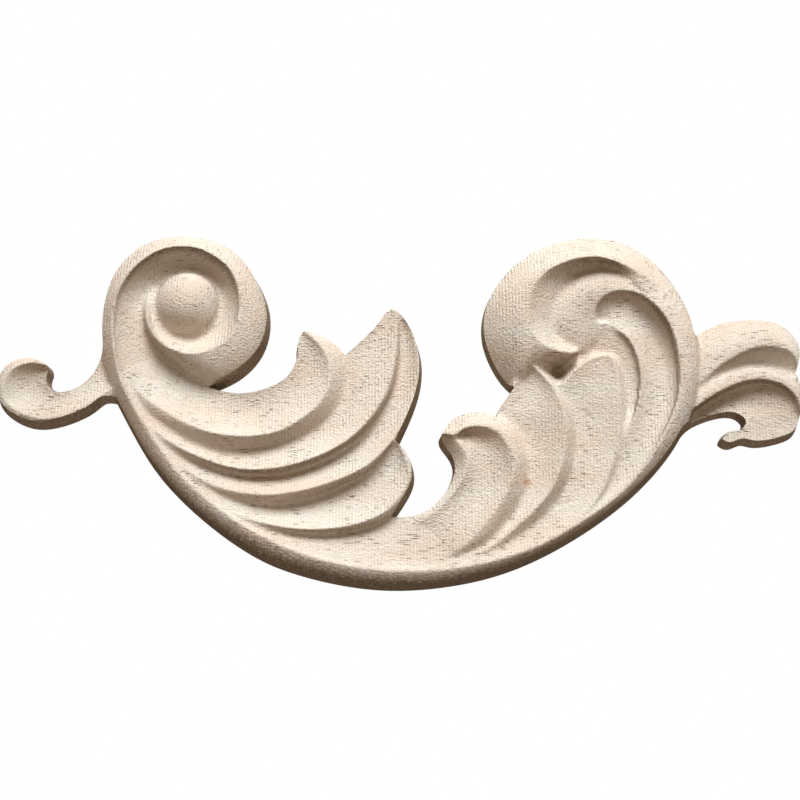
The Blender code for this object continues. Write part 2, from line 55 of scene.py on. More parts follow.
# The carving
# One piece of pale rubberwood, 13.5 mm thick, with a flat back. A router with a ball-nosed cutter has run
# up and down its front in fine passes, and it was sanded lightly and left bare. Its lines are drawn in
# pixels of the photograph, and the numbers beside them are heights above the back in millimetres.
WIDTH = 0.200
DRAWN_WIDTH = 813  # the same in pixels, over the feet of the leaning side walls
UNIT = WIDTH / DRAWN_WIDTH
WALL_DRAFT = math.radians(5)
EDGE_HEIGHT = 0.006  # where the walls stand on the drawn outline
GROUND = 0.0030  # thickness of the wood under the deepest cut
BALL_CENTRE = (188, 306)
BALL_RADIUS = 0.0083
BALL_HEIGHT = 0.0050  # of its middle
DISH_RADIUS = 0.0131
DISH_HEIGHT = 0.0058
OUTLINE_STEP = 2  # pixels between the points of the trimmed edge

# The photograph was taken from a little below. A drawn point is carried along its line of sight.
VIEW_TILT = math.radians(13)
VIEW_PIXELS = 2400  # from the lens to the carving
VIEW_DISTANCE = VIEW_PIXELS * UNIT
VIEW_MIDDLE = (400, 400)  # of the picture
VIEW_HEIGHT = 0.009  # height above the back at which a pixel has its true size
ORIGIN = (400, 555)  # a point on the belly
middle = (ORIGIN[1] - VIEW_MIDDLE[1]) * UNIT / math.cos(VIEW_TILT)
EYE = np.array([0, -VIEW_HEIGHT - VIEW_DISTANCE * math.cos(VIEW_TILT),
                middle - VIEW_DISTANCE * math.sin(VIEW_TILT)])


def curve_through(points, count):
    """A natural cubic spline through the points, at count even steps of its length."""
    points = np.asarray(points, float)
    gaps = np.sqrt(np.linalg.norm(np.diff(points, axis=0), axis=1))
    knots = np.concatenate([[0], np.cumsum(gaps)])
    system = np.eye(len(points))
    change = np.zeros_like(points)
    for i in range(1, len(points) - 1):
        system[i, i - 1:i + 2] = gaps[i - 1], 2 * (gaps[i - 1] + gaps[i]), gaps[i]
        change[i] = 6 * ((points[i + 1] - points[i]) / gaps[i] - (points[i] - points[i - 1]) / gaps[i - 1])
    bend = np.linalg.solve(system, change)
    fine = np.linspace(0, knots[-1], 12 * count)
    k = np.clip(np.searchsorted(knots, fine, side="right") - 1, 0, len(points) - 2)
    gap = gaps[k][:, None]
    after = (knots[k + 1] - fine)[:, None]
    before = (fine - knots[k])[:, None]
    line = (bend[k] * after ** 3 + bend[k + 1] * before ** 3) / (6 * gap)
    line += (points[k] / gap - bend[k] * gap / 6) * after
    line += (points[k + 1] / gap - bend[k + 1] * gap / 6) * before
    return evenly(line, count)


def evenly(line, count):
    """The same line at count even steps of its length."""
    length = np.concatenate([[0], np.cumsum(np.linalg.norm(np.diff(line, axis=0), axis=1))])
    wanted = np.linspace(0, length[-1], count)
    return np.stack([np.interp(wanted, length, column) for column in line.T], axis=1)


def smoothly(values, count):
    """Values given at even steps, as count steps of a smooth curve."""
    values = np.atleast_1d(np.asarray(values, float))
    if len(values) == 1:
        return np.full(count, values[0])
    steps = curve_through(np.column_stack([np.arange(len(values)), values]), 40 * len(values))
    return np.interp(np.linspace(0, len(values) - 1, count), steps[:, 0], steps[:, 1])


def rail(points, heights, count):
    """A line of the drawing, with heights in millimetres at even steps along it."""
    return np.column_stack([curve_through(points, count), smoothly(heights, count)])


def beside(crest, line, reach):
    """For each point of the crest, the point of the line that lies square across from it.

    The match never goes back along the line, and gets no further from the crest's own share of its
    length than the reach. It is evened out over about a twentieth of the crest.
    """
    apart = np.linalg.norm(crest[:, None, :2] - line[None, :, :2], axis=2)
    share = np.abs(np.linspace(0, 1, len(crest))[:, None] - np.linspace(0, 1, len(line))[None])
    apart[share > reach] = np.inf
    found = np.maximum.accumulate(np.argmin(apart, axis=1)).astype(float)
    half = round(len(crest) / 45)
    window = np.ones(2 * half + 1) / (2 * half + 1)
    found = np.convolve(np.pad(found, half, mode="edge"), window, mode="valid")
    found[0], found[-1] = 0, len(line) - 1
    return np.stack([np.interp(found, np.arange(len(line)), column) for column in line.T], axis=1)


def surface(name, sections, steps):
    """Sections across a strip, each a row of points from its first rail to its last.

    Between two rails a row sags by the field's hollow, in millimetres, or swells where that is below
    zero. The deepest point lies halfway, or nearer the first rail where the lean is under 1.
    """
    rails, hollows, reach, lean = STRIPS[name]
    lines = [rail(points, heights, sections) for points, heights in rails]
    if reach:
        wide = [rail(points, heights, 8 * sections) for points, heights in rails]
        lines = [lines[i] if i == 1 else beside(lines[1], wide[i], reach) for i in range(len(rails))]
    rows = [lines[0]]
    for a, b, hollow, step in zip(lines, lines[1:], hollows, steps):
        deep = smoothly(hollow, sections)
        for t in np.linspace(0, 1, step + 1)[1:]:
            row = a * (1 - t) + b * t
            bow = t ** lean
            row[:, 2] -= deep * 4 * bow * (1 - bow)
            rows.append(row)
    return np.stack(rows, axis=1)


def placed(points):
    """Drawn points with heights in millimetres, carried along their lines of sight, in metres."""
    points = np.asarray(points, float)
    lean, rise = math.cos(VIEW_TILT), math.sin(VIEW_TILT)
    right = (points[..., 0] - VIEW_MIDDLE[0]) * UNIT / VIEW_DISTANCE
    up = (VIEW_MIDDLE[1] - points[..., 1]) * UNIT / VIEW_DISTANCE
    sight = np.stack([right, lean - up * rise, rise + up * lean], axis=-1)
    far = (-points[..., 2] / 1000 - EYE[1]) / sight[..., 1]
    return EYE + sight * far[..., None]


STRIPS = {}


def strip(name, rails, hollows, reach=0, lean=1):
    """Keeps a strip: its rails with their heights, and the hollows of the fields between them.

    With a reach, the outer rails are matched to the middle one by nearness.
    """
    STRIPS[name] = (rails, hollows, reach, lean)


OUTLINE = [
    # the ball volute's outer edge
    [(103, 345), (103, 319), (115, 276), (139, 250), (170, 239), (222, 246), (248, 268), (264, 298),
     (267, 325), (258, 352), (236, 374), (208, 387)],
    # bay above the first leaf
    [(208, 387), (243, 394), (279, 384), (291, 373), (297, 358), (298, 344), (303, 334)],
    # the first leaf's shoulder
    [(303, 334), (314, 334), (337, 347), (345, 356)],
    # the second leaf's free edge
    [(345, 356), (377, 326), (385, 315), (391, 311)],
    # the third leaf's edge
    [(391, 311), (401, 316), (418, 350), (416, 394), (396, 442)],
    # the fourth leaf's edge
    [(396, 442), (406, 453), (412, 469), (410, 486), (391, 517)],
    # gap between the leaves and the hook
    [(391, 517), (422, 513), (448, 489), (454, 461), (442, 442), (441, 436)],
    # the hook's shoulder
    [(441, 436), (456, 418), (484, 413), (496, 418)],
    # the fifth leaf's free edge
    [(496, 418), (503, 404), (514, 388)],
    # the right volute
    [(514, 388), (503, 377), (485, 338), (493, 292), (535, 252), (590, 239), (640, 253), (680, 298),
     (694, 338)],
    # the tail's first curl
    [(694, 338), (723, 324), (768, 322), (786, 330), (797, 344), (799, 358), (795, 374)],
    # the tail's second curl
    [(795, 374), (801, 393), (796, 427), (784, 436), (755, 441), (742, 439), (730, 443), (722, 440)],
    # cove under the tail
    [(722, 440), (728, 432), (740, 430), (746, 422), (740, 414), (725, 411), (692, 422), (681, 432)],
    # the long belly
    [(681, 432), (672, 447), (630, 494), (530, 558), (450, 581), (370, 584), (290, 567), (250, 549),
     (210, 521), (175, 489), (148, 455), (116, 397)],
    # the left scroll's lower side
    [(116, 397), (103, 397), (89, 407), (49, 422), (22, 419), (-1, 399), (4, 370), (29, 359),
     (47.5, 366), (48.5, 372)],
    # the left scroll's hollow
    [(48.5, 372), (46.5, 381.5), (52.5, 389.5), (62.5, 392), (88, 379), (102, 354), (103, 345)],
]

# The scroll starts at the ball volute's inner end, goes once round the ball, down the left side, along
# the belly, up the right side and round into the dome. Its lines are its outer edge, crest and foot.
strip("scroll", [
    ([(153, 279), (146, 290), (142.5, 320), (159, 353), (200, 382), (222, 387), (244, 378), (262, 356),
      (271, 325), (267, 296), (250, 264), (223, 242), (190, 235), (160, 238), (130, 254), (108, 284),
      (99, 318), (100, 350), (116, 402), (148, 459), (175, 493), (210, 525), (250, 553), (290, 571),
      (370, 588), (450, 586), (530, 562), (565, 544), (630, 498), (676, 448), (688, 427), (699, 375),
      (690, 315), (662, 272), (646, 265), (630, 266), (613, 265), (578, 274), (553, 297), (547, 312),
      (547, 327.5), (564, 351), (575, 356)],
     [5, 6.5, 6, 5, 4.5, 5, 6, 7, 6.5, 5.5, 5, 5, 5, 5, 5, 5, 5, 5, 5, 6, 7.5, 8.8, 9, 8.2, 6.8, 6, 4.2]),
    ([(158, 281), (151, 291), (147.5, 316), (161, 341.5), (189, 353), (218, 345), (237, 321),
      (232, 274), (206, 252), (190, 247), (158, 251), (120, 288), (113, 335), (117, 365), (126, 392),
      (169, 461), (198, 492), (247, 528), (330, 562), (450, 569), (530, 549), (562, 533), (625, 488),
      (662, 437), (678, 397), (678, 354), (664, 316), (635, 292.5), (606, 295), (595, 314), (599, 327),
      (599, 338), (592, 348), (579, 355.5)],
     [5.5, 11, 12.5, 13, 13, 13, 13, 12.5, 11.5, 10, 9.3, 9, 9, 9, 9, 9, 9, 9, 9, 9.2, 9.5, 10.5, 12,
      12.8, 12.8, 12, 9, 4.5]),
    ([(163, 285), (157, 295), (155, 309), (161, 324), (174, 335.5), (192, 341), (210, 335), (221, 320),
      (219, 286), (192, 270), (161, 276), (146, 298), (147.5, 333), (165, 373), (185, 400), (213, 440),
      (275, 492), (345, 510), (405, 505), (430, 500), (455, 500), (490, 510), (530, 515), (590, 496),
      (608, 478), (636, 408), (638, 362), (627, 338), (616, 329), (606, 321), (601, 322), (603, 330),
      (603, 340), (596, 351), (583, 358)],
     [5, 7.5, 7.5, 7, 6.5, 6.5, 6.6, 6.3, 5.7, 5.8, 6, 5.5, 5.2, 5, 5, 5.2, 5.8, 6.2, 6.4, 6.5, 6.8,
      7.5, 9, 10, 10, 6, 4]),
], [
    [-0.5, -0.8, -1.4, -2, -2, -1.2, -0.8, -0.6, -0.6, -0.6, -0.8, -0.9, -0.9, -0.9, -0.9, -1, -1, -1,
     -1, -1, -0.9, -0.9, -1, -1.4, -1.3, -1.4, -2.4, -1.2],
    [0.4, 0.8, 1, 1.2, 1.4, 1.4, 1.4, 1.5, 1.4, 0.9, 0.6, 0.7, 0.8, 0.8, 0.8, 0.8, 0.8, 0.8, 0.8, 0.9,
     1.2, 2.4, 4, 4.4, 2, 0.5, 0],
], reach=0.1, lean=0.65)

# The first leaf comes out of the scroll's inner wall, runs under the volute and turns up to its tip.
strip("leaf_a", [
    ([(150, 292), (149, 328), (191, 373), (208, 381), (226, 388), (243, 390.5), (277, 381),
      (293.5, 358), (295, 345), (299, 331)],
     [6, 6.3, 6.5, 6.5, 6.5, 7, 8, 8.5, 9, 9.5]),
    ([(130, 300), (124, 330), (125, 360), (134, 384), (150, 401), (198, 428), (243, 436), (278, 431),
      (303, 417), (320, 402), (329, 383), (329, 362), (320, 345), (304, 331)],
     [7, 8.2, 8.8, 9.8, 10.3, 10.5, 10.5, 10.5, 10.5, 10]),
    ([(126, 310), (121, 345), (130, 390), (142, 406), (192, 441), (243, 452), (303, 437), (329, 420),
      (342, 400), (345, 357), (328, 337), (307, 328)],
     [4, 5, 8, 8, 6.5, 5.5, 5.5, 6, 6.5, 7]),
], [[0.8, 0.8, 1, 1.4, 1.8, 1.8, 1.6, 1.6, 1.4, 0.3], [-0.3]])

# The second leaf, the longest, ends in the tall point of the left fan.
strip("leaf_b", [
    ([(130, 395), (194, 436), (216, 444), (243, 447), (303, 431), (326, 414), (337, 395), (340, 375),
      (343, 354), (361, 338), (375, 323.5), (383, 312), (390, 306)],
     [8, 8, 6.5, 6, 6, 6, 6.5, 7, 7.5, 8]),
    ([(131, 402), (142, 418), (174, 444), (226, 466), (256, 469.5), (286, 466), (320, 455), (346, 441),
      (365, 424), (381, 402), (391, 376), (396.5, 325), (392, 306)],
     [9, 9, 9.5, 9.5, 10, 10, 10, 9.5, 9, 8.5]),
    ([(129, 409), (155, 438), (203, 466), (234, 475), (268, 476), (303, 469), (364, 436), (396, 384),
      (400, 331), (394, 306)],
     [8, 7.5, 6, 5, 5, 5, 5, 5.5, 6, 7]),
], [[0.2, 0.4, 0.5, 0.5, 0.6, 0.8, 1, 1, 0.8, 0.4], [-0.4]])

# The third leaf lies along the second and shares its point.
strip("leaf_c", [
    ([(150, 425), (175, 447), (234, 470), (268, 471), (303, 464), (361, 432), (380, 410), (392, 384),
      (397, 331), (391, 306)],
     [8, 7.5, 6.5, 6, 6, 6, 6, 6, 6.5, 8]),
    ([(160, 450), (190, 472), (226, 489), (286, 493), (346, 476), (372, 461), (405, 419), (418, 368),
      (416, 346), (408, 324), (393, 306)],
     [8.5, 8.5, 9, 9.5, 9.5, 9.5, 9, 8.5, 8.5, 8.5]),
    ([(158, 455), (188, 478), (222, 497), (254, 506), (286, 505), (320, 496), (352, 483), (378, 468),
      (408, 422), (423, 368), (412, 321), (396, 303)],
     [7.5, 7, 6, 5, 5, 5, 5.5, 6, 6, 6]),
], [[0.2, 0.4, 0.6, 0.8, 1, 1, 1, 1, 1, 0.3], [-0.4]])

# The fourth leaf is short and round, just above the belly.
strip("leaf_d", [
    ([(185, 472), (220, 489), (254, 498), (286, 497), (352, 476), (375, 461), (394, 438)],
     [5, 5.5, 5.6, 5.6, 5.6, 6, 6.5, 8]),
    ([(190, 488), (222, 507), (274, 525.5), (338, 527.5), (388, 509), (407, 483), (409.5, 469),
      (396, 438)],
     [8, 8, 8.5, 9, 9, 9, 9, 8.5, 8.5]),
    ([(188, 492), (252, 526), (338, 534), (391, 518), (405, 503), (413, 486), (415, 469), (409, 450),
      (398, 436)],
     [7.5, 7, 6, 5.5, 5.5, 5.5, 6, 6, 6]),
], [[0.3, 0.6, 1, 1.4, 1.6, 1.6, 1.4, 0.5], [-0.3]])

# The hook: its hollow on the left, its raised leaf, and the bank that falls to the next leaf.
strip("hook", [
    ([(385, 506), (420, 508), (445, 487), (450.5, 462), (436, 438)],
     [3.5, 4.3, 5, 5, 5, 5, 5.5, 6]),
    ([(385, 535), (429, 516), (465, 473), (464, 450), (449, 436), (436, 436.5)],
     [3.5, 5.2, 7, 7.8, 8.5, 9, 9, 8.5]),
    ([(410, 566), (448, 556), (482, 527), (511, 480), (510, 451), (503, 438), (491, 429), (467, 428),
      (457, 434), (448, 434.5), (436, 435)],
     [5, 7.5, 9, 9.5, 10, 10.5, 10.5, 10, 9.5]),
    ([(410, 570), (448, 562), (488, 544), (506, 527), (526, 492), (529, 473), (528, 452), (513, 424),
      (485, 409), (454, 414), (436, 433)],
     [7, 7, 6.5, 6, 5.5, 5.5, 6, 6, 5.5, 5.5]),
], [[-0.2], [0.2, 0.5, 1, 1.8, 2.2, 2, 1], [-0.3, -0.4, -0.8, -1, -1, -0.6]])

# The fifth leaf, with its tip beside the right volute.
strip("leaf_f", [
    ([(450, 560), (480, 545), (515, 510), (525, 470), (522, 450), (510, 430), (495, 414), (500, 402),
      (520, 375), (530, 367)],
     [5.5, 6, 6.2, 6, 6, 6, 6, 6.5, 7, 8]),
    ([(456, 562), (491, 546), (515, 527), (547, 495), (563, 458), (565, 417), (552, 385), (533, 366)],
     [6.5, 7.8, 8.5, 9, 9.5, 10, 10, 10, 9.5, 9]),
    ([(458, 566), (495, 552), (541, 520), (557, 502), (568, 484), (575, 464), (575, 415), (557, 379),
      (536, 363)],
     [7, 7, 6.5, 6, 5.5, 5.5, 5.5, 5.5, 5, 4.5]),
], [[0.2, 0.4, 0.6, 0.8, 1, 1.2, 1.4, 1.6, 1.4, 0.6], [-0.3]])

# The sixth leaf stands on a low bank, under the dome.
strip("leaf_g", [
    ([(505, 552), (530, 528), (557, 488), (567, 470), (566, 425), (560, 405), (556, 388), (581, 355),
      (600, 348)],
     [4.5, 5, 5, 5, 5, 5, 5, 4, 3, 3]),
    ([(526, 550), (545, 532), (570, 490), (577, 450), (568, 402), (562, 386), (588, 360.5),
      (603, 355.5)],
     [5, 5.8, 6.2, 6.4, 6.5, 6.5, 7, 8, 8.5, 8.5]),
    ([(540, 548), (596, 500), (608, 475), (616, 451), (620, 394), (614, 361), (608, 355.5)],
     [5.5, 7.8, 8.6, 9, 9, 9, 9, 9, 9, 9]),
    ([(546, 550), (582, 524), (603, 500), (623, 455), (628, 415), (625, 374), (619, 358), (612, 351)],
     [5, 6.5, 6.5, 6.5, 6.5, 6.5, 6.5, 6, 5.5, 5]),
], [[0], [0.3, 0.5, 0.7, 0.9, 1, 1.1, 1.2, 1.2, 0.8, 0.3], [-0.3]])

# The floor between the dome, the sixth leaf and the inside of the crescent.
strip("floor", [
    ([(545, 345), (548, 370), (556, 385), (575, 405), (595, 430), (608, 455)],
     [3, 2.5, 2.5, 3.5, 5.5, 5.5]),
    ([(604, 322), (630, 338), (641, 364), (641, 395), (630, 435)],
     [8.3, 8.6, 8.2, 7.4, 6.6, 5.5]),
], [[0]])

# The roll of the right volute, which goes round the dome and ends in a point below it.
strip("right_roll", [
    ([(690, 322), (680, 296), (663, 268), (641, 249), (590, 235), (532, 249), (507, 268), (490, 291),
      (481, 315), (481, 340), (489, 362), (516, 391), (530, 380), (560, 366), (572, 362), (579, 354)],
     [5, 5.5, 5.5, 5, 4.5, 4.5, 4.5, 4.5, 4.5, 5, 6]),
    ([(683, 330), (655, 284), (610, 259.5), (589, 257), (554, 267), (533, 290), (529, 318), (541, 342),
      (565, 352), (577, 352)],
     [9.5, 10.3, 12, 13.2, 13.5, 13.3, 13, 12.7, 12.3, 11.5, 10]),
    ([(675, 338), (663.5, 315), (649.5, 299), (637, 282), (617, 272.5), (582, 280), (554, 313),
      (557, 336), (578, 349)],
     [9, 10.6, 12.1, 12.6, 9.4, 7.5, 7.5, 8, 8, 7.5, 7]),
], [
    [-0.4, -0.6, -1, -1.4, -1.8, -2, -2.2, -2.2, -1.6, -1, -0.4],
    [0, 0, 0, 0.8, 1, 0.8, 0.4, 0.2, 0, 0],
])

# The tail's upper curl.
strip("tail_upper", [
    ([(680, 352), (691, 334), (705, 327), (722, 321), (769, 319), (788, 327), (800, 342), (803, 358),
      (800, 375)],
     [6.5, 6.5, 6.5, 6, 6, 6, 6]),
    ([(684, 402), (706, 378), (735, 356.5), (763, 346.5), (788, 351), (796, 359), (799, 374)],
     [9, 9, 9.5, 9.5, 9.5, 9, 8.5]),
    ([(684, 412), (702, 397), (743, 377), (769, 375), (800, 387)],
     [8.5, 7, 5, 4, 4, 4, 5]),
], [[-0.8, -1, -1.2, -1.2, -1.2, -0.8], [0.3, 0.8, 1.2, 1.2, 0.8, 0.3]])

# The rib between the tail's two curls.
strip("tail_lower", [
    ([(680, 402), (702, 384), (740, 367.5), (769, 366), (797, 376), (805, 388), (808, 405)],
     [7, 5.5, 4.5, 4, 4, 4.5, 5]),
    ([(683, 406), (704, 387), (740, 370.5), (754, 368), (793, 380), (805, 405)],
     [8.5, 8.5, 8.5, 8.5, 8.5, 8.5, 8]),
    ([(683, 418), (706, 401), (740, 383.5), (769, 381), (792, 393), (801, 414)],
     [8.5, 9, 9, 9, 9, 9, 8.5]),
], [[0], [-0.3]])

# The tail's lower curl, a hollow with a hooked end.
strip("tail_hollow", [
    ([(675, 420), (719, 387), (754, 375), (770, 376), (796, 389), (808, 414), (803, 431), (787, 441),
      (755, 447), (742, 446), (729, 449), (717, 444)],
     [8, 8.6, 8.8, 8.8, 8.4, 8, 7.5, 7, 7, 7, 7]),
    ([(672, 444), (692, 427), (724, 417), (738.5, 422), (735, 425.5), (724, 426.5), (715, 434)],
     [6.5, 6, 5.5, 5.5, 6, 6.5, 6.5, 6.5, 6.5, 6.5]),
], [[0.5, 1.2, 1.8, 2, 2, 1.6, 1, 0.6, 0.2, 0]])

# The small scroll on the left, a hollow with a raised rim below.
strip("left_scroll", [
    ([(128, 388), (117, 395), (105, 400), (91, 410), (49, 425), (7, 415), (-5, 383), (14, 359),
      (43, 357.5), (55, 363)],
     [6, 6.5, 7, 7, 7, 7, 7, 7, 7]),
    ([(126, 380), (115, 388), (104, 393), (88, 404), (62, 416), (37, 418), (12, 408), (4, 398),
      (8, 374), (30, 363), (53.5, 368)],
     [6.5, 7, 7.5, 8, 8, 8, 8.5, 8.5, 8]),
    ([(114, 325), (100, 346), (94, 364.5), (86, 376.5), (63, 389.5), (50.5, 381), (51, 373)],
     [7, 6.5, 6, 5.5, 5.5, 5.5, 6, 6.5, 7]),
], [[0], [0.2, 0.6, 1, 1.4, 1.8, 1.8, 1.2, 0.5]], reach=0.5)


def outline_points():
    """The drawn outline in pixels: each segment's spline, with a point about every OUTLINE_STEP of them."""
    pieces = []
    for segment in OUTLINE:
        length = np.linalg.norm(np.diff(np.array(segment, float), axis=0), axis=1).sum()
        pieces.append(curve_through(segment, max(4, round(length / OUTLINE_STEP)))[:-1])
    return np.concatenate(pieces)


def grid_faces(rows, columns):
    """The four-sided faces of a grid of points: each joins a point to its neighbours in row and column."""
    at = np.arange(rows * columns).reshape(rows, columns)
    return np.stack([at[:-1, :-1], at[:-1, 1:], at[1:, 1:], at[1:, :-1]], axis=-1).reshape(-1, 4)


def new_object(name, points, faces):
    """An object at the origin with these points and faces as its mesh."""
    mesh = bpy.data.meshes.new(name)
    mesh.from_pydata(np.asarray(points, float).reshape(-1, 3), [], faces)
    made = bpy.data.objects.new(name, mesh)
    bpy.context.scene.collection.objects.link(made)
    return made


def moved_out(plan, distance):
    """The closed plan with each point moved by the distance, square to the line between its neighbours.

    Where the moved line would fold over itself it takes a straight short cut.
    """
    ahead = np.roll(plan, -1, axis=0) - np.roll(plan, 1, axis=0)
    outward = np.column_stack([-ahead[:, 2], np.zeros(len(ahead)), ahead[:, 0]])
    moved = plan + outward / np.linalg.norm(outward, axis=1)[:, None] * distance
    shares = np.linspace(0, 1, 8, endpoint=False)[:, None, None]
    wall = (plan * (1 - shares) + np.roll(plan, -1, axis=0) * shares).reshape(-1, 3)
    gap = np.linalg.norm(moved[:, None] - wall[None], axis=2).min(axis=1)
    sound = np.flatnonzero(gap >= 0.97 * abs(distance))
    at = np.arange(len(plan))
    return np.stack([np.interp(at, sound, column, period=len(plan)) for column in moved[sound].T], axis=1)


# The form: the strips' surfaces, the ball, the dish round it and the ground, all as one mesh that is
# seen from the front. So the ball is a half sphere, the dish a flat disc and the ground a flat sheet.
ROUND = 97  # points round a turn
turn = np.linspace(0, 2 * math.pi, ROUND)
side = np.column_stack([np.cos(turn), np.zeros(ROUND), np.sin(turn)])
ball_middle = placed((*BALL_CENTRE, BALL_HEIGHT * 1000))
rise = np.linspace(0, 0.999, 40)[:, None, None] * math.pi / 2
ball = ball_middle + (side * np.cos(rise) - np.array([0, 1, 0]) * np.sin(rise)) * BALL_RADIUS
dish = ball_middle + side * np.array([DISH_RADIUS, 0.001 * DISH_RADIUS])[:, None, None]
dish[..., 1] = -DISH_HEIGHT
ground = np.array([[(x, -GROUND, z) for x in (-0.13, 0.13)] for z in (-0.03, 0.11)])
SECTION_STEP = 1.5  # pixels between the sections of a strip
STEPS_ACROSS = 16  # in each of its fields
surfaces = [ball, dish, ground]
for name, (rails, _, _, _) in STRIPS.items():
    longest = max(np.linalg.norm(np.diff(points, axis=0), axis=1).sum() for points, _ in rails)
    steps = (STEPS_ACROSS,) * (len(rails) - 1)
    surfaces.append(placed(surface(name, round(longest / SECTION_STEP), steps)))
starts = np.cumsum([0] + [grid.shape[0] * grid.shape[1] for grid in surfaces])
faces = np.concatenate([grid_faces(*grid.shape[:2]) + start for grid, start in zip(surfaces, starts)])
form = new_object("form", np.concatenate([grid.reshape(-1, 3) for grid in surfaces]), faces.tolist())

# Its height is read in fine steps, by a sheet of points that is projected onto it from the front
PASS = 0.00079  # between the cutter's passes
COLUMN = PASS / 2  # between the finished mesh's points across
ROW = 0.00028  # and upwards
FINE = 3  # fine steps in a column, and two in a row
COLUMNS_EACH_SIDE = 258
ROWS = 332
LOWEST = -0.0092
across = np.arange(-COLUMNS_EACH_SIDE * FINE, COLUMNS_EACH_SIDE * FINE + 1) * COLUMN / FINE
up = LOWEST + np.arange(0, 2 * ROWS + 1) * ROW / 2
grid_x, grid_z = np.meshgrid(across, up)
IN_FRONT = 0.03  # where the sheet starts, clear of the highest point
probe = new_object("probe", np.stack([grid_x, np.full_like(grid_x, -IN_FRONT), grid_z], axis=-1), [])
wrap = probe.modifiers.new("wrap", "SHRINKWRAP")
wrap.wrap_method = "PROJECT"
wrap.use_project_y = True
wrap.use_positive_direction = True
wrap.use_negative_direction = False
wrap.target = form
found = np.empty(3 * grid_x.size, np.float32)
probe.evaluated_get(bpy.context.evaluated_depsgraph_get()).data.vertices.foreach_get("co", found)
height = -found.reshape(*grid_x.shape, 3)[..., 1].astype(float)


def shifted(values, rows, columns):
    """The grid moved by whole rows and columns, with its edge values repeated."""
    r = np.clip(np.arange(values.shape[0]) + rows, 0, values.shape[0] - 1)
    c = np.clip(np.arange(values.shape[1]) + columns, 0, values.shape[1] - 1)
    return values[r][:, c]


# The cutter goes as deep as its ball nose can without cutting into the form. The nose's centre stays
# above the form by its radius, and the cut is the lowest that the nose reaches: from every fine step
# for the bare shape, and from the passes alone for the ridges that stay between them.
BALL_NOSE = 0.0012
RIDGE = 0.0001  # the highest between two passes
WORN = 0.5  # what sanding leaves of it
reach_x = int(BALL_NOSE / (COLUMN / FINE))
reach_z = int(BALL_NOSE / (ROW / 2))
nose = [(dx, dz, BALL_NOSE ** 2 - (dx * COLUMN / FINE) ** 2 - (dz * ROW / 2) ** 2)
        for dx in range(-reach_x, reach_x + 1) for dz in range(-reach_z, reach_z + 1)]
nose = [(dx, dz, math.sqrt(drop)) for dx, dz, drop in nose if drop > 0]
centre = np.full(height.shape, -1.0)
for dx, dz, drop in nose:
    centre = np.maximum(centre, shifted(height, dz, dx) + drop)
off_pass = np.where(np.arange(len(across)) % (2 * FINE) == 0, 0, 1)[None]
cut = np.full(height.shape, 1.0)
passed = np.full(height.shape, 1.0)
for dx, dz, drop in nose:
    lower = shifted(centre, dz, dx) - drop
    cut = np.minimum(cut, lower)
    passed = np.minimum(passed, lower + shifted(off_pass, 0, dx))
ridges = np.minimum(passed - cut, RIDGE) * WORN

# Sanding takes each point half way to the mean of its neighbours, upwards and across
cut = cut / 2 + (shifted(cut, 1, 0) + shifted(cut, -1, 0)) / 4
cut = cut / 2 + (shifted(cut, 0, 1) + shifted(cut, 0, -1)) / 4
carved = (cut + ridges)[::2, ::FINE]

# The skin of that cut, closed behind the back
BEHIND = 0.002  # in metres, and cut off by the trim
front = np.stack([grid_x[::2, ::FINE], -carved, grid_z[::2, ::FINE]], axis=-1)
at = np.arange(carved.size).reshape(carved.shape)
rim = np.concatenate([at[0, :-1], at[:-1, -1], at[-1, :0:-1], at[:0:-1, 0]])
feet = carved.size + np.arange(len(rim))
behind = front.reshape(-1, 3)[rim] * [1, 0, 1] + [0, BEHIND, 0]
skirt = np.stack([rim, feet, np.roll(feet, -1), np.roll(rim, -1)], axis=-1)
faces = np.concatenate([grid_faces(*carved.shape), skirt]).tolist() + [feet[::-1].tolist()]
carving = new_object("carving", np.concatenate([front.reshape(-1, 3), behind]), faces)

# It is trimmed by the outline, whose walls widen towards the back
WALL_RINGS = (0, EDGE_HEIGHT, 0.020)
drawn = outline_points()
plan = placed(np.column_stack([drawn, np.full(len(drawn), EDGE_HEIGHT * 1000)]))
walls = np.stack([moved_out(plan, (EDGE_HEIGHT - ring) * math.tan(WALL_DRAFT)) for ring in WALL_RINGS])
walls[..., 1] = -np.array(WALL_RINGS)[:, None]
at = np.arange(3 * len(plan)).reshape(3, -1)
belt = np.stack([at[:-1], np.roll(at[:-1], -1, 1), np.roll(at[1:], -1, 1), at[1:]], axis=-1)
trim = new_object("trim", walls, belt.reshape(-1, 4).tolist() + [at[0, ::-1].tolist(), at[-1].tolist()])
for made in (carving, trim):
    shape = bmesh.new()
    shape.from_mesh(made.data)
    bmesh.ops.triangulate(shape, faces=[face for face in shape.faces if len(face.verts) > 4])
    if shape.calc_volume(signed=True) < 0:
        bmesh.ops.reverse_faces(shape, faces=shape.faces)
    shape.to_mesh(made.data)
    shape.free()
trimming = carving.modifiers.new("trimming", "BOOLEAN")
trimming.operation = "INTERSECT"
trimming.solver = "MANIFOLD"
trimming.object = trim
whole = bpy.data.meshes.new_from_object(carving.evaluated_get(bpy.context.evaluated_depsgraph_get()))
carving.modifiers.clear()
carving.data = whole
for helper in (form, probe, trim):
    bpy.data.objects.remove(helper)

